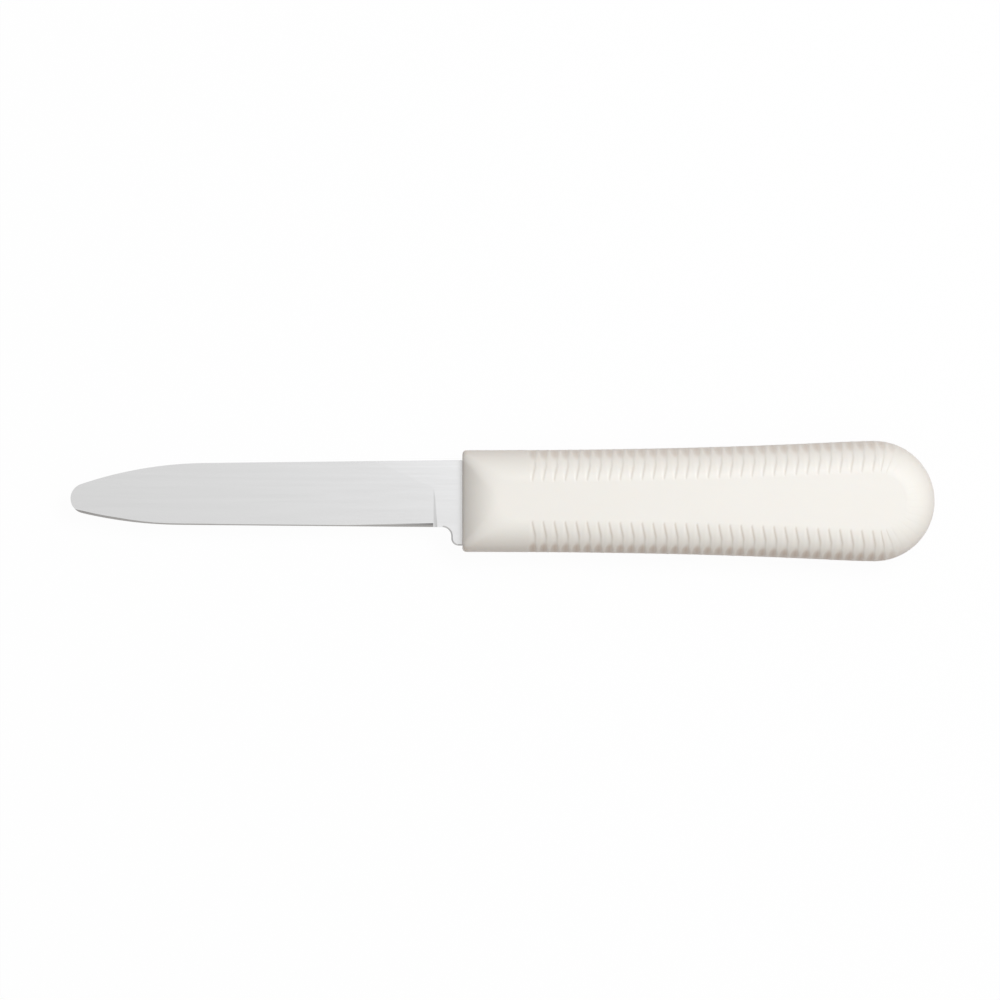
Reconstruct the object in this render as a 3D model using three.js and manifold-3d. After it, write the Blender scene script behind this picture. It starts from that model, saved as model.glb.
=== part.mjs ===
// Clam knife: a stainless blade with a hidden tang, and a ribbed polypropylene handle moulded onto it.
// Millimetres, +Z up. The knife lies on one flat side of its handle, with the tip towards -X, the butt
// towards +X, the spine towards +Y and the cutting edge towards -Y. The origin is on the table, under the
// middle of the knife's length.
//
// Both pieces are drawn about the point where the knife's long axis meets the front of the handle, with
// z = 0 in the middle of the blade's thickness. The last section sets them down on the table.

import * as THREE from "three";
import { mergeVertices, toCreasedNormals } from "three/addons/utils/BufferGeometryUtils.js";
import Module from "manifold-3d";

const wasm = await Module();
wasm.setup();

const degrees = THREE.MathUtils.degToRad;

// Blade: sizes along the knife are from the front of the handle, sizes across it from the long axis.
const BLADE_LENGTH = 85.7; // tip to handle
const BLADE_THICKNESS = 1.8;
const SPINE_RISE = 8.97; // spine above the axis, at the handle
const SPINE_SLOPE = degrees(0.65); // the spine falls this much towards the tip
const EDGE_DROP = 5.68; // cutting edge below the axis, at the heel
const EDGE_SLOPE = degrees(0.5); // the edge rises this much towards the tip
const NOSE_RADIUS = 88; // spine side of the nose
const BELLY_RADIUS = 97; // edge side of the nose
const TIP_RADIUS = 3.3;
const TIP_RISE = 0.58; // centre of the round tip above the axis

// Grinding: both faces taper to the edge and to the tip, and the wheel leaves a long round end at the heel.
const GRIND_RISE = 3; // at the heel the ground face starts this far above the axis
const EDGE_THICKNESS = 1.6; // left at the heel's edge by the grinding, before honing
const TIP_TAPER = degrees(0.3); // each face falls this much towards the tip
const PLUNGE_SETBACK = 5.5; // ground face ends this far in front of the handle
const PLUNGE_RADIUS = 5;

// Honing: a narrow strip that rolls over to a blunt edge, wider at the heel and at the tip than between.
const HONE_HEEL_WIDTH = 0.85;
const HONE_MIDDLE_WIDTH = 0.3;
const HONE_TIP_WIDTH = 0.5;
const HONE_HEEL_RUN = 20; // it narrows over this length from the heel
const HONE_TIP_RUN = 19; // it widens again from this far behind the tip
const HONE_TIP_HOLD = 10; // and has its full width from here on
const HONE_STOP = 0.9; // it starts this far short of the end of the ground face
const HONE_SLOPE = degrees(21); // slope of the strip where it leaves the ground face
const HONE_EDGE_SLOPE = degrees(46); // and at the very edge

// Heel: the step down from the edge to the deeper root of the blade.
const HEEL_SETBACK = 2.45; // face of the step, in front of the handle
const HEEL_FILLET = 2;
const HEEL_CORNER = 1.6;
const ROOT_DROP = 9.73; // underside of the root below the axis

// Tang: the part of the blade that the handle is moulded onto.
const SHOULDER_DEPTH = 5; // the root goes this far into the handle
const SHOULDER_CORNER = 0.8;
const TANG_DEPTH = 70; // end of the tang inside the handle
const TANG_HEIGHT = 10;
const TANG_FILLET = 1.2;
const TANG_CORNER = 2.5;
const TANG_HOLE_RADIUS = 2.25;
const TANG_HOLE_COUNT = 3;
const TANG_HOLE_FIRST = 18; // first hole from the front of the handle
const TANG_HOLE_SPACING = 20;

// Handle
const HANDLE_LENGTH = 103.2;
const HANDLE_THICKNESS = 16;
const FRONT_HEIGHT = 22.2;
const BUTT_HEIGHT = 26.3; // the butt is half round
const FLARE_FRONT_PULL = 60; // the sides leave the front straight for about this long
const FLARE_BUTT_PULL = 9; // and come level again over this length before the butt
const RIM_RUN = 7; // width of the round rim beside the flat panel
const FRONT_RUN = 7.8; // length of the rounding from the panel to the front face
const FRONT_FACE_THICKNESS = 7.8; // flat face that the blade comes out of
const FRONT_CORNER = 0.9;
const MOULD_GAP = 0.1; // moulding to steel

// Ribs: shallow grooves side by side along both edges and round the butt, with a sharp crest between them.
// Each groove narrows towards the panel, so that it ends there like the tip of a finger.
const RIB_START = 14; // smooth length behind the front
const RIB_PITCH = 2.37; // crest to crest
const RIB_DEPTH = 0.13;
const RIB_WALL = 0.3; // width of each wall, in half pitches
const RIB_EDGE_SHARE = 0.35; // share of the depth at the middle of the edge, where the mould parts
const RIB_EDGE_RUN = degrees(26); // full depth from this angle round the rim
const RIB_NARROW_FROM = degrees(47); // full width up to this angle
const RIB_END_WIDTH = 0.4; // share of the width that is left at the panel
const RIB_FADE_FROM = degrees(85); // full depth up to this angle
const RIB_FADE_TO = degrees(90); // no depth left here, at the panel
const RIB_BUTT_SHARE = 0.35; // share of the depth round the butt
const RIB_BUTT_TURN = degrees(28); // reached over this turn at each end of the butt

// Fineness of the facets
const ARC_STEPS = 8;
const GRIND_STEPS = 40;
const STEPS_PER_RIB = 4;
const FACE_STEPS = 2;
const RIM_STEPS = 5;
const CORNER_STEPS = 3;
const SMOOTH_STEPS = 3;
const HONE_STEPS = 12;
const HONE_FACETS = 3;
const CREASE = degrees(24);
const CUT_MARGIN = 1; // a cutter reaches this far past what it cuts

// Solids

/** A closed geometry, moved by a matrix, as a solid to cut and join. */
function solidOf(geometry, matrix = new THREE.Matrix4()) {
  const bare = geometry.index ? geometry.toNonIndexed() : geometry.clone();
  bare.deleteAttribute("normal");
  bare.deleteAttribute("uv");
  const merged = mergeVertices(bare.applyMatrix4(matrix), 1e-4);
  const triVerts = new Uint32Array(merged.index.array);
  if (matrix.determinant() < 0) {
    triVerts.reverse();
  }
  const vertProperties = new Float32Array(merged.attributes.position.array);
  return new wasm.Manifold(new wasm.Mesh({ numProp: 3, vertProperties, triVerts }));
}

/** A solid as a named mesh, smooth over its curves and sharp at its edges. */
function meshOf(name, solid, material) {
  const made = solid.getMesh();
  const geometry = new THREE.BufferGeometry();
  geometry.setAttribute("position", new THREE.BufferAttribute(made.vertProperties, 3));
  geometry.setIndex(new THREE.BufferAttribute(made.triVerts, 1));
  const mesh = new THREE.Mesh(toCreasedNormals(geometry, CREASE), material);
  mesh.name = name;
  return mesh;
}

/** Mirrors a piece from one face of the blade to the other. */
const OTHER_FACE = new THREE.Matrix4().makeScale(1, 1, -1);

// Blade blank

/** An arc of an outline that runs anticlockwise. Hollow corners run the other way round. */
function arc(x, y, radius, from, to, hollow = false) {
  return { x, y, radius, from, to, hollow };
}

/**
 * The round tip and the two long arcs that lead into it. Each long arc is tangent to its straight side,
 * given by a point and the angle of its outward normal, and to the tip.
 */
function noseArcs() {
  const tip = new THREE.Vector2(TIP_RADIUS - BLADE_LENGTH, TIP_RISE);
  const sideArc = (start, normalAngle, radius, towardsTip) => {
    const normal = new THREE.Vector2(Math.cos(normalAngle), Math.sin(normalAngle));
    const along = new THREE.Vector2(-normal.y, normal.x).multiplyScalar(towardsTip);
    const line = start.clone().addScaledVector(normal, -radius);
    const reach = tip.clone().sub(line);
    const run = reach.dot(along);
    const across = Math.sqrt(reach.lengthSq() - run * run);
    const lead = Math.sqrt((radius - TIP_RADIUS) ** 2 - across ** 2);
    const centre = line.addScaledVector(along, run - lead);
    const touch = tip.clone().sub(centre).angle();
    return { centre, touch };
  };
  const spineNormal = Math.PI / 2 + SPINE_SLOPE;
  const edgeNormal = (3 * Math.PI) / 2 - EDGE_SLOPE;
  const spine = sideArc(new THREE.Vector2(0, SPINE_RISE), spineNormal, NOSE_RADIUS, 1);
  const heel = new THREE.Vector2(-PLUNGE_SETBACK, -EDGE_DROP);
  const belly = sideArc(heel, edgeNormal, BELLY_RADIUS, -1);
  return {
    spine: arc(spine.centre.x, spine.centre.y, NOSE_RADIUS, spineNormal, spine.touch),
    tip: arc(tip.x, tip.y, TIP_RADIUS, spine.touch, belly.touch),
    belly: arc(belly.centre.x, belly.centre.y, BELLY_RADIUS, belly.touch, edgeNormal),
  };
}

/** Height of the cutting edge at a place along the straight part of the blade. */
function edgeAt(x) {
  return -EDGE_DROP - (x + PLUNGE_SETBACK) * Math.tan(EDGE_SLOPE);
}

const nose = noseArcs();

/** The outline of blade and tang, as the arcs at its corners: straight lines join them. */
function blankArcs() {
  const half = Math.PI / 2;
  const filletX = -HEEL_SETBACK - HEEL_FILLET;
  const filletY = edgeAt(filletX) - HEEL_FILLET / Math.cos(EDGE_SLOPE);
  const cornerX = SHOULDER_DEPTH - SHOULDER_CORNER;
  const rootX = SHOULDER_DEPTH + TANG_FILLET;
  const rootY = TANG_HEIGHT / 2 + TANG_FILLET;
  const endX = TANG_DEPTH - TANG_CORNER;
  const endY = TANG_HEIGHT / 2 - TANG_CORNER;
  const spineY = SPINE_RISE + cornerX * Math.tan(SPINE_SLOPE);
  const spineCornerY = spineY - SHOULDER_CORNER / Math.cos(SPINE_SLOPE);
  return [
    arc(cornerX, spineCornerY, SHOULDER_CORNER, 0, half + SPINE_SLOPE),
    nose.spine,
    nose.tip,
    nose.belly,
    arc(filletX, filletY, HEEL_FILLET, half - EDGE_SLOPE, 0, true),
    arc(HEEL_CORNER - HEEL_SETBACK, HEEL_CORNER - ROOT_DROP, HEEL_CORNER, 2 * half, 3 * half),
    arc(cornerX, SHOULDER_CORNER - ROOT_DROP, SHOULDER_CORNER, 3 * half, 4 * half),
    arc(rootX, -rootY, TANG_FILLET, 2 * half, half, true),
    arc(endX, -endY, TANG_CORNER, 3 * half, 4 * half),
    arc(endX, endY, TANG_CORNER, 0, half),
    arc(rootX, rootY, TANG_FILLET, 3 * half, 2 * half, true),
  ];
}

/** The flat blank with its pierced tang, grown by a gap all round: the plastic leaves that room. */
function blank(gap = 0) {
  const outline = new THREE.Shape();
  for (const a of blankArcs()) {
    outline.absarc(a.x, a.y, a.hollow ? a.radius - gap : a.radius + gap, a.from, a.to, a.hollow);
  }
  outline.closePath();
  for (let i = 0; i < TANG_HOLE_COUNT; i++) {
    const hole = new THREE.Path();
    hole.absarc(TANG_HOLE_FIRST + i * TANG_HOLE_SPACING, 0, TANG_HOLE_RADIUS - gap, 0, 2 * Math.PI);
    outline.holes.push(hole);
  }
  const depth = BLADE_THICKNESS + 2 * gap;
  const plate = new THREE.ExtrudeGeometry(outline, { depth, bevelEnabled: false, curveSegments: ARC_STEPS });
  return solidOf(plate, new THREE.Matrix4().makeTranslation(0, 0, -depth / 2));
}

// Grinding and honing

const grindDrop = (BLADE_THICKNESS - EDGE_THICKNESS) / 2;
const grindAngle = Math.atan(grindDrop / (GRIND_RISE + EDGE_DROP));
const plungeRun = Math.sqrt(2 * PLUNGE_RADIUS * grindDrop - grindDrop ** 2);
const groundEnd = -PLUNGE_SETBACK - plungeRun;

/** What the grinding wheel takes off the upper face: a tilted slab with a round end at the plunge. */
function grindCutter() {
  const start = -BLADE_LENGTH - CUT_MARGIN;
  const wheel = new THREE.Shape();
  wheel.moveTo(start, (start - groundEnd) * Math.tan(TIP_TAPER));
  wheel.lineTo(groundEnd, 0);
  wheel.absarc(groundEnd, PLUNGE_RADIUS, PLUNGE_RADIUS, -Math.PI / 2, 0, false);
  wheel.lineTo(start, PLUNGE_RADIUS);
  wheel.closePath();
  const above = SPINE_RISE - GRIND_RISE + CUT_MARGIN;
  const depth = above + GRIND_RISE + ROOT_DROP + CUT_MARGIN;
  const slab = new THREE.ExtrudeGeometry(wheel, { depth, bevelEnabled: false, curveSegments: GRIND_STEPS });
  slab.translate(0, 0, -above);
  const tilt = new THREE.Matrix4().makeRotationX(Math.PI / 2 + grindAngle);
  return { slab, place: tilt.setPosition(0, GRIND_RISE, BLADE_THICKNESS / 2) };
}

/** Half the blade's thickness after grinding, at a place in the ground face. */
function groundAt(x, y) {
  const tipFall = Math.max(0, groundEnd - x) * Math.tan(TIP_TAPER);
  return BLADE_THICKNESS / 2 - (GRIND_RISE - y) * Math.tan(grindAngle) - tipFall;
}

/** Stations along the cutting edge, from the heel round the belly and straight on past the round tip. */
function edgeStations() {
  const belly = nose.belly;
  const stopX = -PLUNGE_SETBACK - HONE_STOP;
  const heel = new THREE.Vector2(stopX, edgeAt(stopX));
  const around = (angle) => new THREE.Vector2(Math.cos(angle), Math.sin(angle));
  const centre = new THREE.Vector2(belly.x, belly.y);
  const onBelly = (angle) => around(angle).multiplyScalar(belly.radius).add(centre);
  const stations = [];
  for (let i = 0; i < HONE_STEPS; i++) {
    const place = heel.clone().lerp(onBelly(belly.to), i / HONE_STEPS);
    stations.push({ place, inward: around(belly.to).negate() });
  }
  for (let i = 0; i <= ARC_STEPS; i++) {
    const angle = THREE.MathUtils.lerp(belly.to, belly.from, i / ARC_STEPS);
    stations.push({ place: onBelly(angle), inward: around(angle).negate() });
  }
  const inward = around(belly.from).negate();
  const onward = new THREE.Vector2(-inward.y, inward.x).multiplyScalar(2 * TIP_RADIUS);
  stations.push({ place: onBelly(belly.from).add(onward), inward });
  return stations;
}

/** Width of the honed strip at a place along the knife. */
function honeWidthAt(x) {
  const fromHeel = -PLUNGE_SETBACK - HONE_STOP - x;
  const fromTip = x + BLADE_LENGTH;
  const heel = 1 - THREE.MathUtils.smoothstep(fromHeel, 0, HONE_HEEL_RUN);
  const tip = 1 - THREE.MathUtils.smoothstep(fromTip, HONE_TIP_HOLD, HONE_TIP_RUN);
  const heelGain = (HONE_HEEL_WIDTH - HONE_MIDDLE_WIDTH) * heel;
  return HONE_MIDDLE_WIDTH + heelGain + (HONE_TIP_WIDTH - HONE_MIDDLE_WIDTH) * tip;
}

/** What the hone takes off the upper face at a station: all that stands above the rolled strip. */
function honeSection({ place, inward }) {
  const width = honeWidthAt(place.x);
  const shoulder = groundAt(place.x + width * inward.x, place.y + width * inward.y);
  const radius = width / (Math.sin(HONE_EDGE_SLOPE) - Math.sin(HONE_SLOPE));
  const top = BLADE_THICKNESS / 2 + CUT_MARGIN;
  const section = [[-CUT_MARGIN, top], [width + (top - shoulder) / Math.tan(HONE_SLOPE), top]];
  for (let i = 0; i <= HONE_FACETS; i++) {
    const slope = THREE.MathUtils.lerp(HONE_SLOPE, HONE_EDGE_SLOPE, i / HONE_FACETS);
    const across = width - radius * (Math.sin(slope) - Math.sin(HONE_SLOPE));
    section.push([across, shoulder - radius * (Math.cos(HONE_SLOPE) - Math.cos(slope))]);
  }
  const [lastAcross, lastZ] = section[section.length - 1];
  section.push([-CUT_MARGIN, lastZ - (lastAcross + CUT_MARGIN) * Math.tan(HONE_EDGE_SLOPE)]);
  return section.map(([across, z]) => {
    const point = place.clone().addScaledVector(inward, across);
    return new THREE.Vector3(point.x, point.y, z);
  });
}

/** The hone's cut along the whole edge. It fades out where the tip turns away from its straight run. */
function honeCutter() {
  const rings = edgeStations().map(honeSection);
  const count = rings[0].length;
  const faces = [];
  for (let ring = 0; ring + 1 < rings.length; ring++) {
    for (let i = 0; i < count; i++) {
      const a = ring * count + i;
      const b = ring * count + ((i + 1) % count);
      faces.push(a, b, b + count, a, b + count, a + count);
    }
  }
  const last = (rings.length - 1) * count;
  for (let i = 1; i + 1 < count; i++) {
    faces.push(0, i + 1, i, last, last + i, last + i + 1);
  }
  return new THREE.BufferGeometry().setFromPoints(rings.flat()).setIndex(faces);
}

function makeBlade() {
  const grind = grindCutter();
  const grindBelow = OTHER_FACE.clone().multiply(grind.place);
  const hone = honeCutter();
  return blank()
    .subtract(solidOf(grind.slab, grind.place))
    .subtract(solidOf(grind.slab, grindBelow))
    .subtract(solidOf(hone))
    .subtract(solidOf(hone, OTHER_FACE));
}

// Handle

const buttRadius = BUTT_HEIGHT / 2;
const buttX = HANDLE_LENGTH - buttRadius;
const halfThickness = HANDLE_THICKNESS / 2;

/** Half the handle's height at a place along it: straight from the front, then flaring to the butt. */
const flare = new THREE.CubicBezierCurve(
  new THREE.Vector2(0, FRONT_HEIGHT / 2),
  new THREE.Vector2(FLARE_FRONT_PULL, FRONT_HEIGHT / 2),
  new THREE.Vector2(buttX - FLARE_BUTT_PULL, buttRadius),
  new THREE.Vector2(buttX, buttRadius),
);

function halfHeightAt(x) {
  let low = 0;
  let high = 1;
  for (let i = 0; i < 40; i++) {
    const middle = (low + high) / 2;
    if (flare.getPoint(middle).x < x) {
      low = middle;
    } else {
      high = middle;
    }
  }
  return flare.getPoint(low).y;
}

const edgeRibs = Math.round((buttX - RIB_START) / RIB_PITCH);
const buttRibs = Math.round((Math.PI * buttRadius) / RIB_PITCH);

/**
 * Depth at step i along a run of ribs, at an angle round the rim. The groove has a flat floor between two
 * walls, which close in towards the panel, and it grows shallow at the middle of the edge.
 */
function grooveDepth(i, angle) {
  const { lerp, mapLinear, smoothstep } = THREE.MathUtils;
  const turn = Math.abs(angle);
  const across = Math.abs((2 * (i % STEPS_PER_RIB)) / STEPS_PER_RIB - 1);
  const narrowed = Math.max(turn, RIB_NARROW_FROM);
  const width = mapLinear(narrowed, RIB_NARROW_FROM, RIB_FADE_TO, 1, RIB_END_WIDTH);
  const floor = 1 - smoothstep(across, width - RIB_WALL, width);
  const end = 1 - smoothstep(turn, RIB_FADE_FROM, RIB_FADE_TO);
  const edge = lerp(RIB_EDGE_SHARE, 1, smoothstep(turn, 0, RIB_EDGE_RUN));
  return RIB_DEPTH * edge * end * floor;
}

/** How far the front stands back at a height above the middle: an arc from the front face to the panel. */
function frontSetback(z) {
  const drop = (HANDLE_THICKNESS - FRONT_FACE_THICKNESS) / 2;
  const radius = (FRONT_RUN ** 2 + drop ** 2) / (2 * drop);
  const rise = Math.max(Math.abs(z) - halfThickness + radius, radius - drop);
  return FRONT_RUN - Math.sqrt(Math.max(0, radius ** 2 - rise ** 2));
}

/** One level of the handle, at an angle round the rim from -90 degrees (lower panel) to 90 (upper panel). */
function handleRing(angle) {
  const inset = RIM_RUN * (1 - Math.cos(angle));
  const level = halfThickness * Math.sin(angle);
  const front = frontSetback(level);
  const normal = new THREE.Vector2(Math.cos(angle) / RIM_RUN, Math.sin(angle) / halfThickness).normalize();
  const cornerX = front + FRONT_CORNER;
  const cornerY = FRONT_HEIGHT / 2 - inset - FRONT_CORNER;

  const lower = [];
  for (let i = 0; i <= CORNER_STEPS; i++) {
    const turn = Math.PI + (i / CORNER_STEPS) * (Math.PI / 2);
    const x = cornerX + FRONT_CORNER * Math.cos(turn);
    lower.push(new THREE.Vector3(x, -cornerY + FRONT_CORNER * Math.sin(turn), level));
  }
  for (let i = 1; i < SMOOTH_STEPS; i++) {
    const x = THREE.MathUtils.lerp(cornerX, RIB_START, i / SMOOTH_STEPS);
    lower.push(new THREE.Vector3(x, inset - halfHeightAt(x), level));
  }
  for (let i = 0; i < edgeRibs * STEPS_PER_RIB; i++) {
    const x = THREE.MathUtils.lerp(RIB_START, buttX, i / (edgeRibs * STEPS_PER_RIB));
    const depth = grooveDepth(i, angle);
    const y = inset - halfHeightAt(x) + depth * normal.x;
    lower.push(new THREE.Vector3(x, y, level - depth * normal.y));
  }
  const butt = [];
  for (let i = 0; i <= buttRibs * STEPS_PER_RIB; i++) {
    const turn = -Math.PI / 2 + (Math.PI * i) / (buttRibs * STEPS_PER_RIB);
    const fading = THREE.MathUtils.smoothstep(Math.PI / 2 - Math.abs(turn), 0, RIB_BUTT_TURN);
    const depth = grooveDepth(i, angle) * THREE.MathUtils.lerp(1, RIB_BUTT_SHARE, fading);
    const radius = buttRadius - inset - depth * normal.x;
    const x = buttX + radius * Math.cos(turn);
    butt.push(new THREE.Vector3(x, radius * Math.sin(turn), level - depth * normal.y));
  }
  const upper = lower.map((p) => new THREE.Vector3(p.x, -p.y, p.z)).reverse();
  return [...lower, ...butt, ...upper];
}

/** Angles round the rim, with a level at each edge of the flat front face. */
function rimAngles() {
  const faceEdge = Math.asin(FRONT_FACE_THICKNESS / HANDLE_THICKNESS);
  const above = [];
  for (let i = 0; i < FACE_STEPS; i++) {
    above.push(THREE.MathUtils.lerp(0, faceEdge, i / FACE_STEPS));
  }
  for (let i = 0; i <= RIM_STEPS; i++) {
    above.push(THREE.MathUtils.lerp(faceEdge, Math.PI / 2, i / RIM_STEPS));
  }
  const below = above.slice(1).map((angle) => -angle);
  return [...below.reverse(), ...above];
}

/** The skin over a stack of closed rings, with a flat panel of cross strips on the first and the last. */
function loft(rings) {
  const count = rings[0].length;
  const faces = [];
  const quad = (a, b, c, d) => faces.push(a, b, c, a, c, d);
  for (let level = 0; level + 1 < rings.length; level++) {
    const here = level * count;
    for (let i = 0; i < count; i++) {
      const next = (i + 1) % count;
      quad(here + i, here + next, here + count + next, here + count + i);
    }
  }
  const top = (rings.length - 1) * count;
  for (let i = 0; 2 * i + 2 < count; i++) {
    const across = count - 1 - i;
    if (i + 1 === across - 1) {
      faces.push(i + 1, i, across, top + i, top + i + 1, top + across);
    } else {
      quad(across, across - 1, i + 1, i);
      quad(top + i, top + i + 1, top + across - 1, top + across);
    }
  }
  return new THREE.BufferGeometry().setFromPoints(rings.flat()).setIndex(faces);
}

function makeHandle() {
  const moulding = solidOf(loft(rimAngles().map(handleRing)));
  return moulding.subtract(blank(MOULD_GAP));
}

// The knife, set down on the table

const steel = new THREE.MeshStandardMaterial({ color: 0xd6d6d7, roughness: 0.32, metalness: 1 });
const polypropylene = new THREE.MeshStandardMaterial({ color: 0xf0ede7, roughness: 0.5, metalness: 0 });

const knife = new THREE.Group();
knife.position.set((BLADE_LENGTH - HANDLE_LENGTH) / 2, 0, halfThickness);
knife.add(meshOf("blade", makeBlade(), steel));
knife.add(meshOf("handle", makeHandle(), polypropylene));

const part = new THREE.Group();
part.add(knife);

export default part;
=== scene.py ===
# A clam knife, in the order in which it is made: the blade, the handle that is moulded round its tang,
# and then the board that it lies on, the light and the camera.

from math import pi, radians

import bmesh
import bpy
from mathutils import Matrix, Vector


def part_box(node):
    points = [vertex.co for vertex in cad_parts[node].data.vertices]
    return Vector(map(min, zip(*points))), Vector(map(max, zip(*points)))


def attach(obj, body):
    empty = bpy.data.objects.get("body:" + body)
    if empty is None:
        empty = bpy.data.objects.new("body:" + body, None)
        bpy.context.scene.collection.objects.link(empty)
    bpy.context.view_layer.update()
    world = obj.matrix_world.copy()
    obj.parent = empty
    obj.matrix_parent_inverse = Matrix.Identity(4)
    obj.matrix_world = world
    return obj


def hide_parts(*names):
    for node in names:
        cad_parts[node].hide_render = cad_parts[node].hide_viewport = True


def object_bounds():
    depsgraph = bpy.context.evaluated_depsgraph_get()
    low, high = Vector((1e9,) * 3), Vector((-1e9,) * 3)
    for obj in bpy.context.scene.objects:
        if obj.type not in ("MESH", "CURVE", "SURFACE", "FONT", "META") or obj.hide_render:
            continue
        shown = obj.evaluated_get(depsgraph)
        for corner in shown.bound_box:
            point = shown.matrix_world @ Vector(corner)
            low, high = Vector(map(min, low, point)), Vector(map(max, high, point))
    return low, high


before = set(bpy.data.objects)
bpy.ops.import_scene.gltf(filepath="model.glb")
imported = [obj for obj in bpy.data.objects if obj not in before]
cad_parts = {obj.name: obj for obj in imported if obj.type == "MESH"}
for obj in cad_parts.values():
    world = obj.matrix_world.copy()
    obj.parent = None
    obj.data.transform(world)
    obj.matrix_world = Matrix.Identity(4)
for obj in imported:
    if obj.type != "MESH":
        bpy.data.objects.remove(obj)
cad_low, cad_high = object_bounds()


# The blade: one stamped stainless steel blank, ground on both faces from the spine to the edge and
# honed. Its tang runs on inside the handle. The solid's own shape is kept, and its sharp outer corners
# are broken as they are by the last polish, a little on the spine and the tip and more round the heel.

MM = 0.001
MERGE_DISTANCE = 0.001 * MM
FLAT_ANGLE = radians(0.4)
CORNER_ANGLE = radians(82)
FACET_ANGLE = radians(20)
SPINE_BREAK = 0.16 * MM
SPINE_BREAK_STEPS = 3
HEEL_BREAK = 0.34 * MM
HEEL_BREAK_STEPS = 1
HEEL_BREAK_DROP = 0.1 * MM
HEEL_BREAK_FROM = 0.5
HEEL_LENGTH = 5.4 * MM
BREAK_IN_HANDLE = 2 * MM
LEAST_WALL = 3 * SPINE_BREAK
WALL_LEAN = 0.2
HONE_STOP = 6.4 * MM
# Reach, slopes and shares of the painted dark reflection on the honed strip and the painted shade at the
# plunge.
HONE_DARK_RUN = 9 * MM
HONE_TIP_RUN = 16 * MM
HONE_TIP_SHADE_SHARE = 0.4
HONED_LEAST = radians(15)
HONE_SHADE_PALE = radians(36)
HONED_MOST = radians(70)
PLUNGE_SHADE_SHARE = 0.1
PLUNGE_LEAN = 0.03
STEEL_TONE = (0.83, 0.83, 0.83)
STEEL_TONE_WORN = (0.81, 0.81, 0.81)
# The next colour paints a dark reflection on the honed strip and a little shade at the plunge.
STEEL_HONE_SHADE = (0.22, 0.22, 0.225)
STEEL_ROUGH_LEAST = 0.2
STEEL_ROUGH_MOST = 0.26
GRIND_LINE = (14 * MM, 0.13 * MM, 0.13 * MM)
GRIND_LINE_DEPTH = 0.0008 * MM
GRIND_BAND = (26 * MM, 0.9 * MM, 0.9 * MM)
POLISH_WAVE = (9 * MM, 6 * MM, 6 * MM)
POLISH_WAVE_DEPTH = 0.002 * MM
NOISE_LOW = 0.3
NOISE_HIGH = 0.7
UPRIGHT = Vector((0.0, 0.0, 1.0))


def new_piece(name, mesh, material):
    piece = bpy.data.objects.new(name, mesh)
    bpy.context.scene.collection.objects.link(piece)
    piece.data.materials.clear()
    piece.data.materials.append(material)
    return piece


def plain_mesh(piece, name):
    bpy.context.view_layer.update()
    evaluated = piece.evaluated_get(bpy.context.evaluated_depsgraph_get())
    mesh = bpy.data.meshes.new_from_object(evaluated)
    mesh.name = name
    return mesh


def add_node(tree, kind, **settings):
    node = tree.nodes.new(kind)
    for name, value in settings.items():
        setattr(node, name, value)
    return node


def new_finish(name):
    material = bpy.data.materials.new(name)
    material.use_nodes = True
    shader = material.node_tree.nodes["Principled BSDF"]
    return material, material.node_tree, shader


def noise(tree, lengths, detail):
    place = add_node(tree, "ShaderNodeTexCoord")
    mapping = add_node(tree, "ShaderNodeMapping")
    mapping.inputs["Scale"].default_value = [1 / length for length in lengths]
    texture = add_node(tree, "ShaderNodeTexNoise")
    texture.inputs["Scale"].default_value = 1.0
    texture.inputs["Detail"].default_value = detail
    tree.links.new(place.outputs["Object"], mapping.inputs["Vector"])
    tree.links.new(mapping.outputs["Vector"], texture.inputs["Vector"])
    return texture.outputs["Fac"]


def spread(tree, value, low, high, to_low, to_high):
    node = add_node(tree, "ShaderNodeMapRange")
    node.inputs["From Min"].default_value = low
    node.inputs["From Max"].default_value = high
    node.inputs["To Min"].default_value = to_low
    node.inputs["To Max"].default_value = to_high
    tree.links.new(value, node.inputs["Value"])
    return node.outputs["Result"]


def tint(tree, share, plain, tinted):
    node = add_node(tree, "ShaderNodeMix", data_type="RGBA")
    plain_socket, tinted_socket = [socket for socket in node.inputs if socket.type == "RGBA"]
    if isinstance(plain, tuple):
        plain_socket.default_value = (*plain, 1.0)
    else:
        tree.links.new(plain, plain_socket)
    tinted_socket.default_value = (*tinted, 1.0)
    tree.links.new(share, node.inputs["Factor"])
    return [socket for socket in node.outputs if socket.type == "RGBA"][0]


def place_on_piece(tree, axis):
    place = add_node(tree, "ShaderNodeTexCoord")
    split = add_node(tree, "ShaderNodeSeparateXYZ")
    tree.links.new(place.outputs["Object"], split.inputs[0])
    return split.outputs[axis]


def stored_share(tree, attribute):
    return add_node(tree, "ShaderNodeAttribute", attribute_name=attribute).outputs["Fac"]


def reckon(tree, operation, first, second):
    node = add_node(tree, "ShaderNodeMath", operation=operation, use_clamp=True)
    tree.links.new(first, node.inputs[0])
    tree.links.new(second, node.inputs[1])
    return node.outputs[0]


def relief(tree, height, depth, below=None):
    node = add_node(tree, "ShaderNodeBump")
    node.inputs["Distance"].default_value = depth
    tree.links.new(height, node.inputs["Height"])
    if below is not None:
        tree.links.new(below, node.inputs["Normal"])
    return node.outputs["Normal"]


blank_low, blank_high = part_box("blade")
handle_low, handle_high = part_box("handle")
blade_middle = (blank_low.z + blank_high.z) / 2
blank_half = (blank_high.z - blank_low.z) / 2
hone_end = handle_low.x - HONE_STOP

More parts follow.
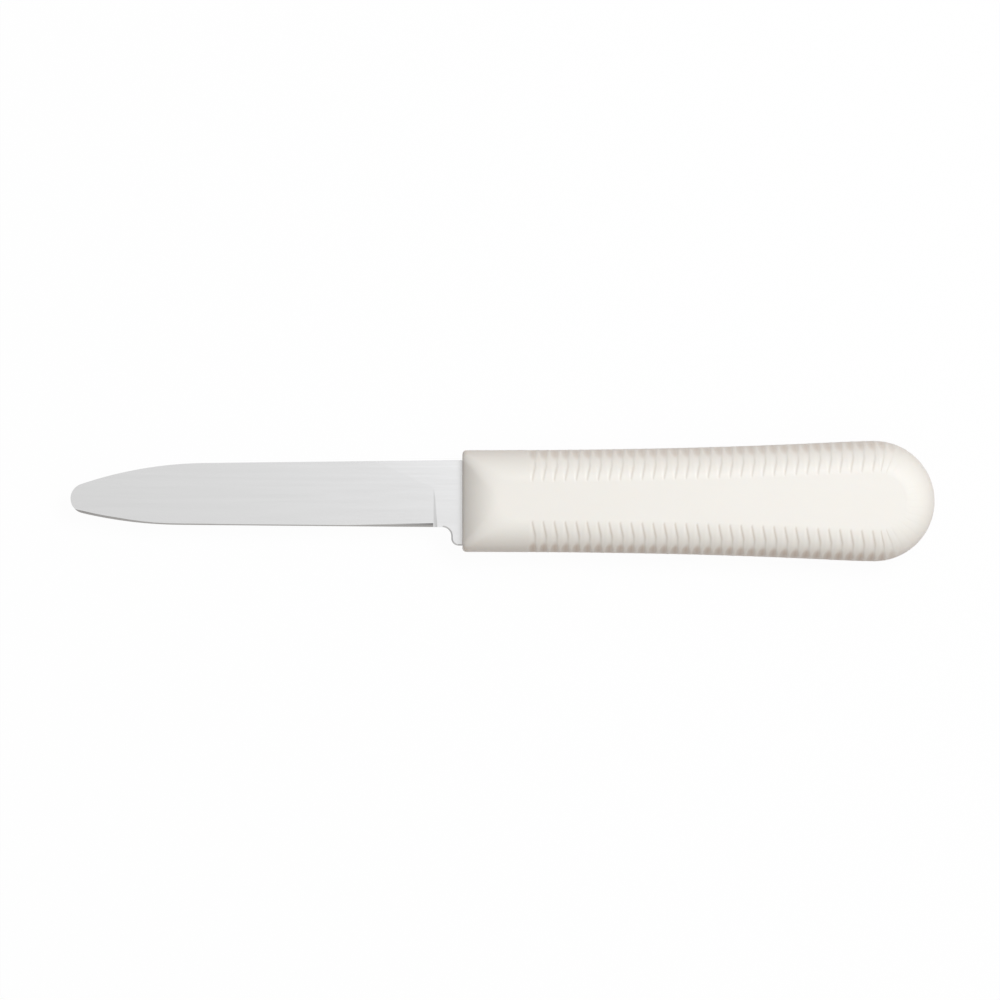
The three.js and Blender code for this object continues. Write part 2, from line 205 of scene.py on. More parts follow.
steel, steel_tree, steel_shader = new_finish("satin_ground_steel")
lines = noise(steel_tree, GRIND_LINE, detail=3.0)
bands = noise(steel_tree, GRIND_BAND, detail=2.0)
waves = noise(steel_tree, POLISH_WAVE, detail=1.0)
polish_share = spread(steel_tree, bands, NOISE_LOW, NOISE_HIGH, 0.0, 1.0)
ground_tone = tint(steel_tree, polish_share, STEEL_TONE_WORN, STEEL_TONE)
# The honed strip gets a painted dark reflection, strongest near the heel and towards the tip, and the
# plunge a painted shade.
hone_place = place_on_piece(steel_tree, "X")
hone_heel = spread(steel_tree, hone_place, hone_end - HONE_DARK_RUN, hone_end, 0.0, 1.0)
hone_tip = spread(steel_tree, hone_place, blank_low.x, blank_low.x + HONE_TIP_RUN, HONE_TIP_SHADE_SHARE, 0.0)
hone_along = reckon(steel_tree, "ADD", hone_heel, hone_tip)
hone_shade_share = reckon(steel_tree, "MULTIPLY", hone_along, stored_share(steel_tree, "hone_shade"))
steel_tone = tint(steel_tree, hone_shade_share, ground_tone, STEEL_HONE_SHADE)
steel_rough = spread(steel_tree, lines, NOISE_LOW, NOISE_HIGH, STEEL_ROUGH_LEAST, STEEL_ROUGH_MOST)
ground = relief(steel_tree, lines, GRIND_LINE_DEPTH)
polished = relief(steel_tree, waves, POLISH_WAVE_DEPTH, ground)
steel_shader.inputs["Metallic"].default_value = 1.0
steel_tree.links.new(steel_tone, steel_shader.inputs["Base Color"])
steel_tree.links.new(steel_rough, steel_shader.inputs["Roughness"])
steel_tree.links.new(polished, steel_shader.inputs["Normal"])

blade_solid = bmesh.new()
blade_solid.from_mesh(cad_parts["blade"].data)
bmesh.ops.remove_doubles(blade_solid, verts=blade_solid.verts, dist=MERGE_DISTANCE)
bmesh.ops.dissolve_limit(
    blade_solid, angle_limit=FLAT_ANGLE, verts=blade_solid.verts, edges=blade_solid.edges
)


def wall_height(face):
    heights = [vert.co.z for vert in face.verts]
    return max(heights) - min(heights)


def is_outer_corner(edge):
    if len(edge.link_faces) != 2 or edge.calc_face_angle() < CORNER_ANGLE:
        return False
    if min(vert.co.x for vert in edge.verts) > handle_low.x + BREAK_IN_HANDLE:
        return False
    walls = [face for face in edge.link_faces if abs(face.normal.z) < WALL_LEAN]
    return len(walls) == 1 and wall_height(walls[0]) > LEAST_WALL


def is_at_heel(edge):
    middle = (edge.verts[0].co + edge.verts[1].co) / 2
    return middle.x > handle_low.x - HEEL_LENGTH and middle.y < 0.0


def break_corners(edges, width, steps, clamp):
    return bmesh.ops.bevel(
        blade_solid,
        geom=edges,
        offset=width,
        segments=steps,
        profile=0.5,
        affect="EDGES",
        clamp_overlap=clamp,
    )["verts"]


outer_corners = [edge for edge in blade_solid.edges if is_outer_corner(edge)]
heel_corners = [edge for edge in outer_corners if is_at_heel(edge)]
spine_corners = [edge for edge in outer_corners if not is_at_heel(edge)]
break_corners(spine_corners, SPINE_BREAK, SPINE_BREAK_STEPS, True)
heel_corners = [edge for edge in heel_corners if edge.is_valid]
heel_rise = blank_half - HEEL_BREAK_DROP
for vert in break_corners(heel_corners, HEEL_BREAK, HEEL_BREAK_STEPS, False):
    rise = vert.co.z - blade_middle
    if HEEL_BREAK_FROM * blank_half < abs(rise) < heel_rise:
        vert.co.z = blade_middle + heel_rise * (1.0 if rise > 0.0 else -1.0)
bmesh.ops.remove_doubles(blade_solid, verts=blade_solid.verts, dist=MERGE_DISTANCE)
blade_solid.normal_update()

# A painted dark reflection lies on the honed strip along the edge, darkest where it slopes least. The
# plunge line, where the grinding stops in front of the heel, gets a little painted shade too.

hone_shade = blade_solid.faces.layers.float.new("hone_shade")
for face in blade_solid.faces:
    middle = face.calc_center_median()
    slope = UPRIGHT.angle(Vector((face.normal.x, face.normal.y, abs(face.normal.z))), 0.0)
    pale = (slope - HONED_LEAST) / (HONE_SHADE_PALE - HONED_LEAST)
    near_heel = middle.x > hone_end - HONE_DARK_RUN
    if middle.y < 0.0 and middle.x < hone_end and HONED_LEAST < slope < HONED_MOST:
        face[hone_shade] = max(0.0, 1.0 - pale * pale)
    elif near_heel and face.normal.x < -PLUNGE_LEAN and slope < HONED_LEAST:
        face[hone_shade] = PLUNGE_SHADE_SHARE
blade_mesh = bpy.data.meshes.new("blade_steel")
blade_solid.to_mesh(blade_mesh)
blade_solid.free()
blade_mesh.shade_smooth()
blade_mesh.set_sharp_from_angle(angle=FACET_ANGLE)
blade = new_piece("blade_steel", blade_mesh, steel)
even_faces = blade.modifiers.new("even_faces", "WEIGHTED_NORMAL")
even_faces.mode = "FACE_AREA"
even_faces.keep_sharp = True
blade.data = plain_mesh(blade, "blade_steel")
blade.modifiers.clear()
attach(blade, "root")
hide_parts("blade")


# The handle: one injection moulding of warm white polypropylene, shot round the tang in a two-part
# mould. The flat sides are smooth, and the round rim carries a row of hollow grip ribs that run out at the
# flat sides. The front is rounded off towards the blade, and the parting line shows round the middle.

handle_sizes = {
    "Length": 103.2 * MM,
    "Thickness": handle_high.z - handle_low.z,
    "Front Height": 22.2 * MM,
    "Butt Height": handle_high.y - handle_low.y,
    "Front X": handle_low.x,
    "Middle Z": (handle_low.z + handle_high.z) / 2,
    "Flare Front Pull": 60 * MM,
    "Flare Butt Pull": 9 * MM,
    "Rim Run": 7 * MM,
    "Front Run": 7.8 * MM,
    "Front Face": 7.8 * MM,
    "Front Edge": 0.7 * MM,
    "Front Corner": 0.9 * MM,
    "Front Corner Growth": 0.4,
    "Seam Height": 0.025 * MM,
    "Seam Width": 0.2 * MM,
    "Edge Ribs": 32,
    "Butt Ribs": 17,
    "Steps Per Rib": 16,
    "Rib Start": 14 * MM,
    "Rib Depth": 0.085 * MM,
    "Rib Wall": 0.3,
    "Rib Far Wall": 0.78,
    "Rib Width": 0.7,
    "Rib Edge Width": 0.88,
    "Rib Edge Share": 0.35,
    "Rib Edge Run": radians(26),
    "Rib Narrow From": radians(62),
    "Rib End Width": 0.2,
    "Rib End Shift": 0.07,
    "Rib End Gain": 0.2,
    "Rib Fade From": radians(85),
    "Rib Fade To": radians(90),
    "Rib Butt Share": 0.18,
    "Rib Butt Turn": radians(34),
    # The painted brown shade in the rib hollows, standing in for the shade that falls there:
    "Painted Shade Most": 0.68,
    "Painted Shade Start": radians(-22),
    "Painted Shade Full": radians(29),
    "Painted Shade Fade": radians(33),
    "Painted Shade End": radians(51),
    "Painted Shade Middle": 0.58,
    "Painted Shade Lean": 0.05 / radians(17.6),
    "Painted Shade Line": 0.44,
    "Painted Shade Line From": radians(44),
    "Painted Shade Line Full": radians(70),
}
RIM_ROWS = 32
PANEL_ROWS = 3
ROW_CROWDING = 0.55
FRONT_STEPS = 14
CORNER_STEPS = 12
SMOOTH_STEPS = 18
FLARE_POINTS = 96
WELD_DISTANCE = 2 * MERGE_DISTANCE
HANDLE_CREASE = radians(75)
SLOT_GAP = 0.1 * MM
PLASTIC_LIGHT = (0.87, 0.845, 0.787)
PLASTIC_DARK = (0.855, 0.828, 0.767)
# The next colour is the brown of the painted shade in the rib hollows. The shade is stronger towards -Y,
# the side that gets less light.
PLASTIC_PAINTED_SHADE = (0.58, 0.462, 0.365)
PAINTED_SHADE_UPPER_SHARE = 0.55
PAINTED_SHADE_SIDE_REACH = handle_sizes["Front Height"] / 4
PLASTIC_ROUGH_LEAST = 0.42
PLASTIC_ROUGH_MOST = 0.5
PLASTIC_IOR = 1.49
PLASTIC_DEEP_SHARE = 0.12
PLASTIC_DEEP_RADIUS = (1.0, 0.8, 0.6)
PLASTIC_DEEP_SCALE = 0.6 * MM
MOULD_GRAIN = (0.16 * MM, 0.16 * MM, 0.16 * MM)
MOULD_GRAIN_DEPTH = 0.002 * MM
MELT_CLOUD = (16 * MM, 9 * MM, 9 * MM)


class Size:
    """A number in a node tree, so that a shape or a light can be written down as a formula."""

    def __init__(self, tree, socket):
        self.tree = tree
        self.socket = socket

    def __add__(self, other):
        return formula(self.tree, "ADD", self, other)

    def __radd__(self, other):
        return formula(self.tree, "ADD", other, self)

    def __sub__(self, other):
        return formula(self.tree, "SUBTRACT", self, other)

    def __rsub__(self, other):
        return formula(self.tree, "SUBTRACT", other, self)

    def __mul__(self, other):
        return formula(self.tree, "MULTIPLY", self, other)

    def __rmul__(self, other):
        return formula(self.tree, "MULTIPLY", other, self)

    def __truediv__(self, other):
        return formula(self.tree, "DIVIDE", self, other)

    def __neg__(self):
        return formula(self.tree, "MULTIPLY", self, -1.0)


def feed(tree, value, socket):
    if isinstance(value, Size):
        tree.links.new(value.socket, socket)
    else:
        socket.default_value = value


def formula(tree, operation, *values):
    node = add_node(tree, "ShaderNodeMath", operation=operation)
    for value, socket in zip(values, node.inputs):
        feed(tree, value, socket)
    return Size(tree, node.outputs[0])


def point(tree, x, y, z):
    node = add_node(tree, "ShaderNodeCombineXYZ")
    for value, socket in zip((x, y, z), node.inputs):
        feed(tree, value, socket)
    return node.outputs[0]


def fade(tree, value, low, high, to_low, to_high):
    node = add_node(tree, "ShaderNodeMapRange", interpolation_type="SMOOTHSTEP")
    names = ("Value", "From Min", "From Max", "To Min", "To Max")
    for name, number in zip(names, (value, low, high, to_low, to_high)):
        feed(tree, number, node.inputs[name])
    return Size(tree, node.outputs["Result"])


plastic, plastic_tree, plastic_shader = new_finish("warm_white_polypropylene")
grain = noise(plastic_tree, MOULD_GRAIN, detail=2.0)
cloud = noise(plastic_tree, MELT_CLOUD, detail=3.0)
cloud_share = spread(plastic_tree, cloud, NOISE_LOW, NOISE_HIGH, 0.0, 1.0)
unshaded_plastic = tint(plastic_tree, cloud_share, PLASTIC_DARK, PLASTIC_LIGHT)
# The rib hollows get a painted brown shade from the stored share. It is stronger towards -Y, where less
# light falls.
painted_shade_place = place_on_piece(plastic_tree, "Y")
painted_shade_side = spread(plastic_tree, painted_shade_place, -PAINTED_SHADE_SIDE_REACH, PAINTED_SHADE_SIDE_REACH, 1.0, PAINTED_SHADE_UPPER_SHARE)
painted_shade_share = reckon(plastic_tree, "MULTIPLY", painted_shade_side, stored_share(plastic_tree, "painted_shade"))
plastic_tone = tint(plastic_tree, painted_shade_share, unshaded_plastic, PLASTIC_PAINTED_SHADE)
plastic_rough = spread(
    plastic_tree, cloud, NOISE_LOW, NOISE_HIGH, PLASTIC_ROUGH_LEAST, PLASTIC_ROUGH_MOST
)
plastic_grain = relief(plastic_tree, grain, MOULD_GRAIN_DEPTH)
plastic_tree.links.new(plastic_tone, plastic_shader.inputs["Base Color"])
plastic_tree.links.new(plastic_rough, plastic_shader.inputs["Roughness"])
plastic_tree.links.new(plastic_grain, plastic_shader.inputs["Normal"])
plastic_shader.inputs["IOR"].default_value = PLASTIC_IOR
plastic_shader.inputs["Subsurface Weight"].default_value = PLASTIC_DEEP_SHARE
plastic_shader.inputs["Subsurface Radius"].default_value = PLASTIC_DEEP_RADIUS
plastic_shader.inputs["Subsurface Scale"].default_value = PLASTIC_DEEP_SCALE

handle_tree = bpy.data.node_groups.new("moulded_handle", "GeometryNodeTree")
handle_tree.interface.new_socket(name="Geometry", in_out="OUTPUT", socket_type="NodeSocketGeometry")
size_keys = {}
for size_name in handle_sizes:
    size_socket = handle_tree.interface.new_socket(
        name=size_name, in_out="INPUT", socket_type="NodeSocketFloat"
    )
    size_keys[size_name] = size_socket.identifier
given = add_node(handle_tree, "NodeGroupInput")


def size(name):
    return Size(handle_tree, given.outputs[name])


def sine(value):
    return formula(handle_tree, "SINE", value)


def cosine(value):
    return formula(handle_tree, "COSINE", value)


def root(value):
    return formula(handle_tree, "SQRT", value)


def at_least(value, floor):
    return formula(value.tree, "MAXIMUM", value, floor)


def at_most(value, ceiling):
    return formula(value.tree, "MINIMUM", value, ceiling)


# Each patch of the skin starts as a flat grid: along it runs the outline, across it the rim and then the
# flat side. From the grid's place come the rim's angle, how far it leans in and how high it stands.

grid_place = add_node(handle_tree, "GeometryNodeInputPosition")
grid_split = add_node(handle_tree, "ShaderNodeSeparateXYZ")
handle_tree.links.new(grid_place.outputs[0], grid_split.inputs[0])
along = Size(handle_tree, grid_split.outputs["X"]) + 0.5
row = (Size(handle_tree, grid_split.outputs["Y"]) + 0.5) * (RIM_ROWS + PANEL_ROWS)
rim_share = at_most(row / RIM_ROWS, 1.0)
panel_share = at_least((row - RIM_ROWS) / PANEL_ROWS, 0.0)
side_kept = 1.0 - panel_share * panel_share * panel_share
rim_angle = rim_share * (rim_share * ROW_CROWDING + (1.0 - ROW_CROWDING)) * (pi / 2)
half_thickness = size("Thickness") / 2.0
inset = size("Rim Run") * (1.0 - cosine(rim_angle))
level = half_thickness * sine(rim_angle)
lean_out = cosine(rim_angle) / size("Rim Run")
lean_up = sine(rim_angle) / half_thickness
lean = root(lean_out * lean_out + lean_up * lean_up)
out_share = lean_out / lean
up_share = lean_up / lean
seam = fade(handle_tree, level, 0.0, size("Seam Width"), size("Seam Height"), 0.0)

# The front of the handle follows a round that is tangent to the flat side.

front_drop = (size("Thickness") - size("Front Face")) / 2.0
front_round = (size("Front Run") * size("Front Run") + front_drop * front_drop) / (front_drop * 2.0)
front_rise = level - half_thickness + front_round
front_reach = root(at_least(front_round * front_round - front_rise * front_rise, 0.0))
setback = formula(handle_tree, "SMOOTH_MAX", size("Front Run") - front_reach, 0.0, size("Front Edge"))

# The long edge flares from the front to the butt in one easy curve.

butt_radius = size("Butt Height") / 2.0
butt_centre = size("Length") - butt_radius
front_half = size("Front Height") / 2.0
flare = add_node(handle_tree, "GeometryNodeCurvePrimitiveBezierSegment", mode="POSITION")
flare.inputs["Resolution"].default_value = FLARE_POINTS
flare_points = {
    "Start": point(handle_tree, 0.0, front_half, 0.0),
    "Start Handle": point(handle_tree, size("Flare Front Pull"), front_half, 0.0),
    "End Handle": point(handle_tree, butt_centre - size("Flare Butt Pull"), butt_radius, 0.0),
    "End": point(handle_tree, butt_centre, butt_radius, 0.0),
}
for flare_name, flare_point in flare_points.items():
    handle_tree.links.new(flare_point, flare.inputs[flare_name])
flare_length = add_node(handle_tree, "GeometryNodeCurveLength")
handle_tree.links.new(flare.outputs[0], flare_length.inputs[0])


def on_flare(distance):
    sample = add_node(handle_tree, "GeometryNodeSampleCurve", mode="LENGTH")
    handle_tree.links.new(flare.outputs[0], sample.inputs["Curves"])
    feed(handle_tree, distance, sample.inputs["Length"])
    split = add_node(handle_tree, "ShaderNodeSeparateXYZ")
    handle_tree.links.new(sample.outputs["Position"], split.inputs[0])
    return Size(handle_tree, split.outputs["X"]), Size(handle_tree, split.outputs["Y"])


# A rib is a hollow between two walls, the far one on the blade's side and the near one on the butt's.
# At the parting line it is shallow and wide. Further up, the far wall eases into a long slope, and towards
# the flat side the hollow narrows and runs out. It holds a painted brown shade, broad low down and a thin
# dark line along the near wall higher up, where the wall turns away from the light. Round the butt, which
# faces the light, both grow faint.

rib_share = fade(handle_tree, rim_angle, size("Rib Fade From"), size("Rib Fade To"), 1.0, 0.0)
edge_share = fade(handle_tree, rim_angle, 0.0, size("Rib Edge Run"), size("Rib Edge Share"), 1.0)
narrow_turn = at_least(rim_angle - size("Rib Narrow From"), 0.0)
narrow_share = narrow_turn / (size("Rib Fade To") - size("Rib Narrow From"))
far_share = fade(handle_tree, rim_angle, size("Painted Shade Full"), size("Painted Shade End"), 0.0, 1.0)
rib_start_width = size("Rib Edge Width") - far_share * (size("Rib Edge Width") - size("Rib Width"))
rib_width = rib_start_width - narrow_share * (rib_start_width - size("Rib End Width"))
rib_middle = 0.5 - narrow_share * size("Rib End Shift")
rib_depth = size("Rib Depth") * (1.0 + narrow_share * size("Rib End Gain"))
painted_shade_below = fade(handle_tree, rim_angle, size("Painted Shade Start"), size("Painted Shade Full"), 0.0, 1.0)
painted_shade_above = fade(handle_tree, rim_angle, size("Painted Shade Fade"), size("Painted Shade End"), 1.0, 0.0)
painted_shade_turn = at_least(rim_angle - size("Painted Shade Full"), 0.0)
painted_shade_line = fade(
    handle_tree, rim_angle, size("Painted Shade Line From"), size("Painted Shade Line Full"), 0.0, size("Painted Shade Line")
)
painted_shade_middle = painted_shade_turn * size("Painted Shade Lean") + size("Painted Shade Middle")
butt_share = fade(handle_tree, along * (pi / 2), 0.0, size("Rib Butt Turn"), 1.0, size("Rib Butt Share"))
# Round the butt, which faces the light, the painted shade fades out.
butt_painted_shade_share = fade(handle_tree, along * (pi / 2), 0.0, size("Rib Butt Turn"), 1.0, 0.0)
near_run = size("Rib Wall") / 2.0
far_run = near_run + (rib_width * size("Rib Far Wall") - near_run) * far_share
far_edge = rib_middle - rib_width / 2.0
near_edge = rib_middle + rib_width / 2.0


def place_in_rib(ribs):
    return formula(handle_tree, "FRACT", along * ribs)


def floor_share(place):
    far_side = fade(handle_tree, place, far_edge, far_edge + far_run, 0.0, 1.0)
    near_side = fade(handle_tree, place, near_edge - near_run, near_edge, 1.0, 0.0)
    return far_side * near_side


def hollow(ribs):
    return rib_depth * edge_share * rib_share * floor_share(place_in_rib(ribs))


# Painted shade in a rib hollow: a broad brown patch low down and a thin dark line along the near wall.
def painted_shade(ribs):
    place = place_in_rib(ribs)
    apart = formula(handle_tree, "ABSOLUTE", place - painted_shade_middle)
    nearest = at_most(apart, 1.0 - apart)
    patch_painted_shade = painted_shade_below * painted_shade_above * (1.0 - nearest * 2.0) * floor_share(place) * size("Painted Shade Most")
    from_wall = formula(handle_tree, "ABSOLUTE", place - rib_middle - (rib_width - near_run) / 2.0)
    line_share = at_least(1.0 - from_wall / near_run, 0.0)
    return patch_painted_shade + line_share * rib_share * painted_shade_line


def patch(steps, x, y, z, painted_shade_value=0.0):
    grid = add_node(handle_tree, "GeometryNodeMeshGrid")
    grid.inputs["Size X"].default_value = 1.0
    grid.inputs["Size Y"].default_value = 1.0
    feed(handle_tree, steps + 1, grid.inputs["Vertices X"])
    grid.inputs["Vertices Y"].default_value = RIM_ROWS + PANEL_ROWS + 1
    moved = add_node(handle_tree, "GeometryNodeSetPosition")
    handle_tree.links.new(point(handle_tree, x, y * side_kept, z), moved.inputs["Position"])
    # Each patch stores its share of painted shade for the plastic's colour.
    stored = add_node(handle_tree, "GeometryNodeStoreNamedAttribute", data_type="FLOAT", domain="POINT")
    stored.inputs["Name"].default_value = "painted_shade"
    handle_tree.links.new(grid.outputs["Mesh"], stored.inputs["Geometry"])
    feed(handle_tree, painted_shade_value, stored.inputs["Value"])
    handle_tree.links.new(stored.outputs["Geometry"], moved.inputs["Geometry"])
    return moved.outputs["Geometry"]


corner = size("Front Corner") + inset * size("Front Corner Growth")
corner_start = setback + corner
corner_height = on_flare(corner_start)[1] - inset - corner
corner_turn = (along + 2.0) * (pi / 2)
smooth_x, smooth_half = on_flare(corner_start + (size("Rib Start") - corner_start) * along)
rib_run = Size(handle_tree, flare_length.outputs[0]) - size("Rib Start")
rib_x, rib_half = on_flare(size("Rib Start") + rib_run * along)
edge_hollow = hollow(size("Edge Ribs"))
edge_painted_shade = painted_shade(size("Edge Ribs"))
butt_hollow = hollow(size("Butt Ribs") / 2.0) * butt_share
butt_painted_shade = painted_shade(size("Butt Ribs") / 2.0) * butt_painted_shade_share
butt_turn = (along - 1.0) * (pi / 2)
butt_reach = butt_radius - inset + seam - butt_hollow * out_share

skin = add_node(handle_tree, "GeometryNodeJoinGeometry")
patches = (
    patch(FRONT_STEPS, setback - seam, -along * corner_height, level),
    patch(
        CORNER_STEPS,
        corner_start + (corner + seam) * cosine(corner_turn),
        (corner + seam) * sine(corner_turn) - corner_height,
        level,
    ),
    patch(SMOOTH_STEPS, smooth_x, inset - smooth_half - seam, level),
    patch(
        size("Edge Ribs") * size("Steps Per Rib"),
        rib_x,
        inset - rib_half - seam + edge_hollow * out_share,
        level - edge_hollow * up_share,
        edge_painted_shade,
    ),
    patch(
        size("Butt Ribs") * size("Steps Per Rib") / 2.0,
        butt_centre + butt_reach * cosine(butt_turn),
        butt_reach * sine(butt_turn),
        level - butt_hollow * up_share,
        butt_painted_shade,
    ),
)
for skin_patch in patches:
    handle_tree.links.new(skin_patch, skin.inputs[0])


def mirrored(geometry, scale):
    turned = add_node(handle_tree, "GeometryNodeTransform")
    turned.inputs["Scale"].default_value = scale
    handle_tree.links.new(geometry, turned.inputs["Geometry"])
    flipped = add_node(handle_tree, "GeometryNodeFlipFaces")
    handle_tree.links.new(turned.outputs[0], flipped.inputs["Mesh"])
    both = add_node(handle_tree, "GeometryNodeJoinGeometry")
    handle_tree.links.new(geometry, both.inputs[0])
    handle_tree.links.new(flipped.outputs[0], both.inputs[0])
    return both.outputs[0]


whole = mirrored(mirrored(skin.outputs[0], (1.0, -1.0, 1.0)), (1.0, 1.0, -1.0))
welded = add_node(handle_tree, "GeometryNodeMergeByDistance")
welded.inputs["Distance"].default_value = WELD_DISTANCE
seated = add_node(handle_tree, "GeometryNodeTransform")
smooth = add_node(handle_tree, "GeometryNodeSetShadeSmooth")
realized = add_node(handle_tree, "GeometryNodeRealizeInstances")
finished = add_node(handle_tree, "GeometryNodeSetMaterial")
finished.inputs["Material"].default_value = plastic
handle_out = add_node(handle_tree, "NodeGroupOutput")
handle_tree.links.new(whole, welded.inputs[0])
handle_tree.links.new(welded.outputs[0], seated.inputs["Geometry"])
handle_tree.links.new(
    point(handle_tree, size("Front X"), 0.0, size("Middle Z")), seated.inputs["Translation"]
)
handle_tree.links.new(seated.outputs[0], smooth.inputs[0])
handle_tree.links.new(smooth.outputs[0], realized.inputs[0])
handle_tree.links.new(realized.outputs[0], finished.inputs["Geometry"])
handle_tree.links.new(finished.outputs[0], handle_out.inputs[0])

moulding = new_piece("moulding", bpy.data.meshes.new("moulding"), plastic)
moulding_nodes = moulding.modifiers.new("moulded_handle", "NODES")
moulding_nodes.node_group = handle_tree
for size_name, size_value in handle_sizes.items():
    moulding_nodes[size_keys[size_name]] = float(size_value)
moulding.data = plain_mesh(moulding, "moulding")
moulding.modifiers.clear()

# The slot that the tang fills is the blank itself, grown by a hair so that steel and plastic stay apart.

tang = bmesh.new()
tang.from_mesh(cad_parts["blade"].data)
bmesh.ops.remove_doubles(tang, verts=tang.verts, dist=MERGE_DISTANCE)
tang.normal_update()
for vert in tang.verts:
    outward = Vector((vert.normal.x, vert.normal.y, 0.0)).normalized()
    upward = 1.0 if vert.co.z > blade_middle else -1.0
    vert.co += (outward + Vector((0.0, 0.0, upward))) * SLOT_GAP
tang_mesh = bpy.data.meshes.new("tang_slot")
tang.to_mesh(tang_mesh)
tang.free()
tang_slot = new_piece("tang_slot", tang_mesh, plastic)
slot_cut = moulding.modifiers.new("slot", "BOOLEAN")
slot_cut.operation = "DIFFERENCE"
slot_cut.solver = "MANIFOLD"
slot_cut.object = tang_slot
handle_mesh = plain_mesh(moulding, "handle_moulding")
bpy.data.objects.remove(moulding)
bpy.data.objects.remove(tang_slot)
handle_mesh.shade_smooth()
handle_mesh.set_sharp_from_angle(angle=HANDLE_CREASE)
handle = new_piece("handle_moulding", handle_mesh, plastic)
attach(handle, "root")
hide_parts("handle")


# The floor: a sheet of white studio board that the knife lies on. Seen by the camera or in the steel it
# is white, and it still takes the knife's soft shadow. The light that it throws back on the knife is
# weaker and warm, as from a table.

FLOOR_HALF = 3.0
FLOOR_DROP = 0.05 * MM
FLOOR_GLOW = 0.96
FLOOR_SEEN = (0.92, 0.92, 0.92)
FLOOR_TURNED = (0.315, 0.217, 0.178)
board = bpy.data.materials.new("white_board")
board.use_nodes = True
board_tree = board.node_tree
board_tree.nodes.clear()
board_out = add_node(board_tree, "ShaderNodeOutputMaterial")
board_matt = add_node(board_tree, "ShaderNodeBsdfDiffuse")
board_glow = add_node(board_tree, "ShaderNodeEmission")
board_glow.inputs["Strength"].default_value = 1.0
board_mix = add_node(board_tree, "ShaderNodeMixShader")
board_path = add_node(board_tree, "ShaderNodeLightPath")
seen = board_path.outputs["Is Camera Ray"]
for ray in ("Is Glossy Ray", "Is Transmission Ray"):
    seen = reckon(board_tree, "ADD", seen, board_path.outputs[ray])
board_share = add_node(board_tree, "ShaderNodeMath", operation="MULTIPLY")
board_share.inputs[1].default_value = FLOOR_GLOW
board_tree.links.new(seen, board_share.inputs[0])
board_tree.links.new(tint(board_tree, seen, FLOOR_TURNED, FLOOR_SEEN), board_matt.inputs["Color"])
board_tree.links.new(board_share.outputs[0], board_mix.inputs["Fac"])
board_tree.links.new(board_matt.outputs[0], board_mix.inputs[1])
board_tree.links.new(board_glow.outputs[0], board_mix.inputs[2])
board_tree.links.new(board_mix.outputs[0], board_out.inputs["Surface"])
board_mesh = bpy.data.meshes.new("white_board")
board_ends = (-FLOOR_HALF, FLOOR_HALF)
board_corners = [(x, y, cad_low.z - FLOOR_DROP) for x in board_ends for y in board_ends]
board_mesh.from_pydata(board_corners, [], [(0, 2, 3, 1)])
floor = new_piece("white_board", board_mesh, board)


# The light: a bright cloth over the table, white cards at the right, in front and behind, and one soft
# lamp high up, a little to the back and right. The room round them is a little warm. A small tool is
# often lit in this way for a picture.

ROOM_GLOW = (0.13, 0.12, 0.117)
CLOTH_ABOVE = (0.655, 0.665, 0.668)
CARD_RIGHT = (0.81, 0.84, 0.835)
CARD_NEAR = (0.312, 0.307, 0.296)
CARD_FAR = (0.375, 0.388, 0.383)
CLOTH_FALL = 4.0
CARD_FALL = 2.0
CARD_LIFT = 0.3
CARD_RIGHT_LIFT = 0.12
LAMP_TOWARDS = Vector((0.325, 0.256, 0.91)).normalized()
LAMP_DISTANCE = 0.6
LAMP_SIZE = 0.25
LAMP_POWER = 1.44
LAMP_COLOUR = (1.0, 1.0, 1.045)
sky = bpy.data.worlds.new("studio")
sky.use_nodes = True
bpy.context.scene.world = sky
sky_tree = sky.node_tree
sky_back = sky_tree.nodes["Background"]
sky_place = add_node(sky_tree, "ShaderNodeTexCoord")


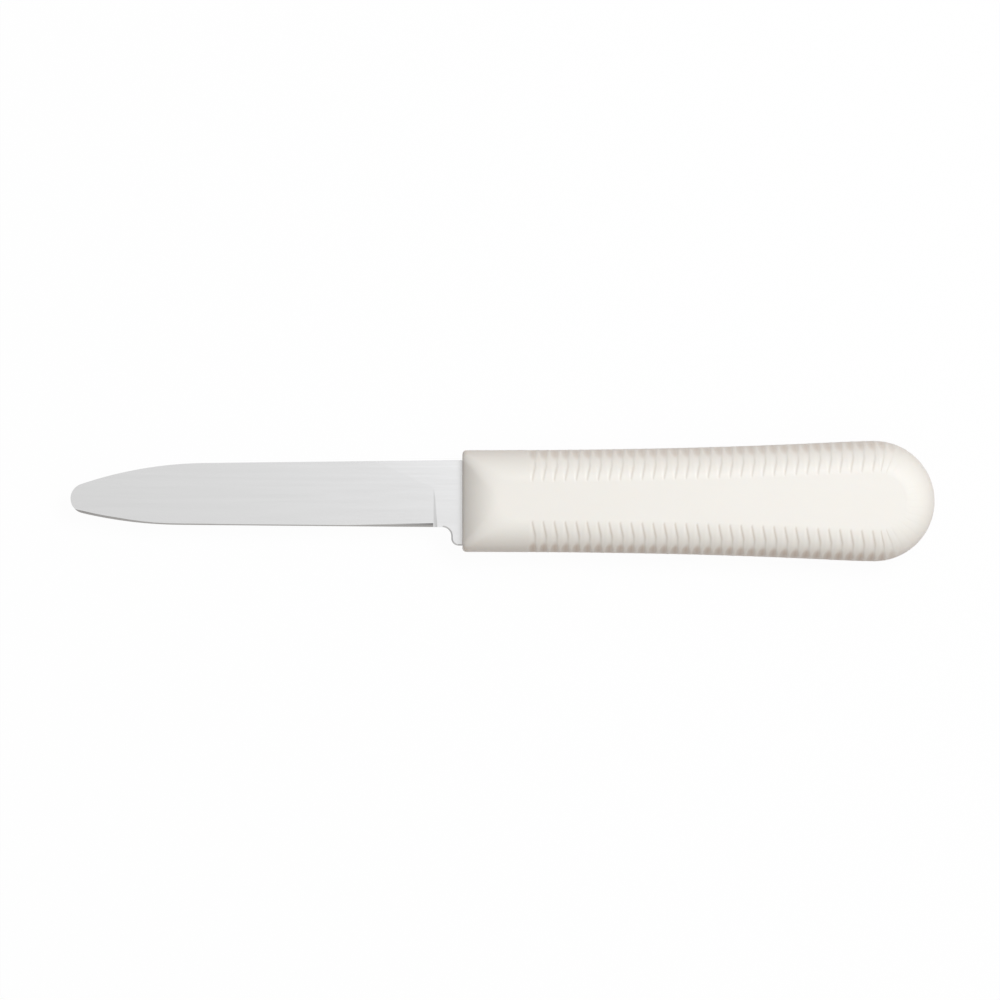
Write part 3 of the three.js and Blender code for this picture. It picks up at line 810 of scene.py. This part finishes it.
def card_light(towards, fall, colour, below):
    facing = add_node(sky_tree, "ShaderNodeVectorMath", operation="DOT_PRODUCT")
    facing.inputs[1].default_value = Vector(towards).normalized()
    sky_tree.links.new(sky_place.outputs["Generated"], facing.inputs[0])
    level = formula(sky_tree, "POWER", at_least(Size(sky_tree, facing.outputs["Value"]), 0.0), fall)
    added = add_node(sky_tree, "ShaderNodeVectorMath", operation="MULTIPLY_ADD")
    added.inputs[0].default_value = colour
    sky_tree.links.new(level.socket, added.inputs[1])
    if below is None:
        added.inputs[2].default_value = ROOM_GLOW
    else:
        sky_tree.links.new(below, added.inputs[2])
    return added.outputs["Vector"]


sky_light = card_light((0.0, 0.0, 1.0), CLOTH_FALL, CLOTH_ABOVE, None)
sky_light = card_light((1.0, 0.0, CARD_RIGHT_LIFT), CARD_FALL, CARD_RIGHT, sky_light)
sky_light = card_light((0.0, -1.0, CARD_LIFT), CARD_FALL, CARD_NEAR, sky_light)
sky_light = card_light((0.0, 1.0, CARD_LIFT), CARD_FALL, CARD_FAR, sky_light)
sky_tree.links.new(sky_light, sky_back.inputs["Color"])

lamp_data = bpy.data.lights.new("soft_lamp", "AREA")
lamp_data.shape = "DISK"
lamp_data.size = LAMP_SIZE
lamp_data.energy = LAMP_POWER
lamp_data.color = LAMP_COLOUR
lamp = bpy.data.objects.new("soft_lamp", lamp_data)
lamp.location = LAMP_TOWARDS * LAMP_DISTANCE
lamp.rotation_euler = LAMP_TOWARDS.to_track_quat("Z", "Y").to_euler()
bpy.context.scene.collection.objects.link(lamp)


# The camera: straight above the knife with a long lens, the blade to the left. The frame is set by the
# width that it takes in at half the knife's thickness.

VIEW_WIDTH = 218.77 * MM
VIEW_CENTRE = Vector((-0.55 * MM, 0.24 * MM, (cad_low.z + cad_high.z) / 2))
LENS = 120.0
SENSOR = 36.0
camera_data = bpy.data.cameras.new("camera")
camera_data.lens = LENS
camera_data.sensor_width = SENSOR
camera = bpy.data.objects.new("camera", camera_data)
camera.location = VIEW_CENTRE + Vector((0.0, 0.0, VIEW_WIDTH * LENS / SENSOR))
bpy.context.scene.collection.objects.link(camera)
bpy.context.scene.camera = camera
bpy.context.scene.view_settings.view_transform = "Standard"
